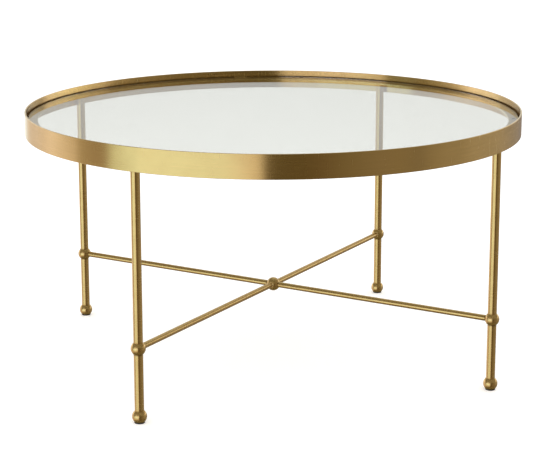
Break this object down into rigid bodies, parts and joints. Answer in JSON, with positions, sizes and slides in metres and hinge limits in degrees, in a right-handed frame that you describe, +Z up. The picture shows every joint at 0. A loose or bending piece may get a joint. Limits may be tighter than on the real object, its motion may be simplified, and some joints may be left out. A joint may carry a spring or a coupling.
{
  "type": "round coffee table",
  "caption": "Round coffee table: a tall thin brass band holds a lift-out clear glass top above slim ball-jointed legs on ball feet, braced by crossed rods that meet in a ball.",
  "frame": {"origin": "on the floor, midway between the feet, below the centre of the top", "axes": "+Z up along the axis of the round top; the legs stand on the diagonals between X and Y, and the front faces -Y"},
  "size_m": [0.9139, 0.914, 0.473],
  "materials": {
    "brass": "satin, brushed lengthwise, lacquered",
    "glass": "clear tempered, polished edge",
    "seal": "matt dark brown",
    "bumper": "clear soft vinyl",
    "glide": "matt black nylon",
    "screw": "brass-plated, turned",
    "steel": "zinc-plated"
  },
  "bodies": {
    "frame": {"centre_ball": "brass", "centre_rod_studs": "steel", "edge_seal": "seal", "foot_ball_back_left": "brass", "foot_ball_back_right": "brass", "foot_ball_front_left": "brass", "foot_ball_front_right": "brass", "foot_glide_back_left": "glide", "foot_glide_back_right": "glide", "foot_glide_front_left": "glide", "foot_glide_front_right": "glide", "foot_studs": "steel", "glass_ledge": "brass", "joint_ball_back_left": "brass", "joint_ball_back_right": "brass", "joint_ball_front_left": "brass", "joint_ball_front_right": "brass", "joint_studs": "steel", "ledge_bumpers": "bumper", "leg_rod_studs": "steel", "leg_screws": "screw", "lower_leg_back_left": "brass", "lower_leg_back_right": "brass", "lower_leg_bottom_plugs": "steel", "lower_leg_front_left": "brass", "lower_leg_front_right": "brass", "lower_leg_top_plugs": "steel", "rim_band": "brass", "stretcher_back_left": "brass", "stretcher_back_right": "brass", "stretcher_front_left": "brass", "stretcher_front_right": "brass", "upper_leg_back_left": "brass", "upper_leg_back_right": "brass", "upper_leg_bottom_plugs": "steel", "upper_leg_front_left": "brass", "upper_leg_front_right": "brass", "upper_leg_top_plugs": "steel"},
    "glass": {"glass_top": "glass"}
  },
  "joints": [
    {"name": "glass_lift", "type": "slide", "parent": "frame", "child": "glass", "axis": [0, 0, 1], "range_m": [0, 0.06]}
  ]
}
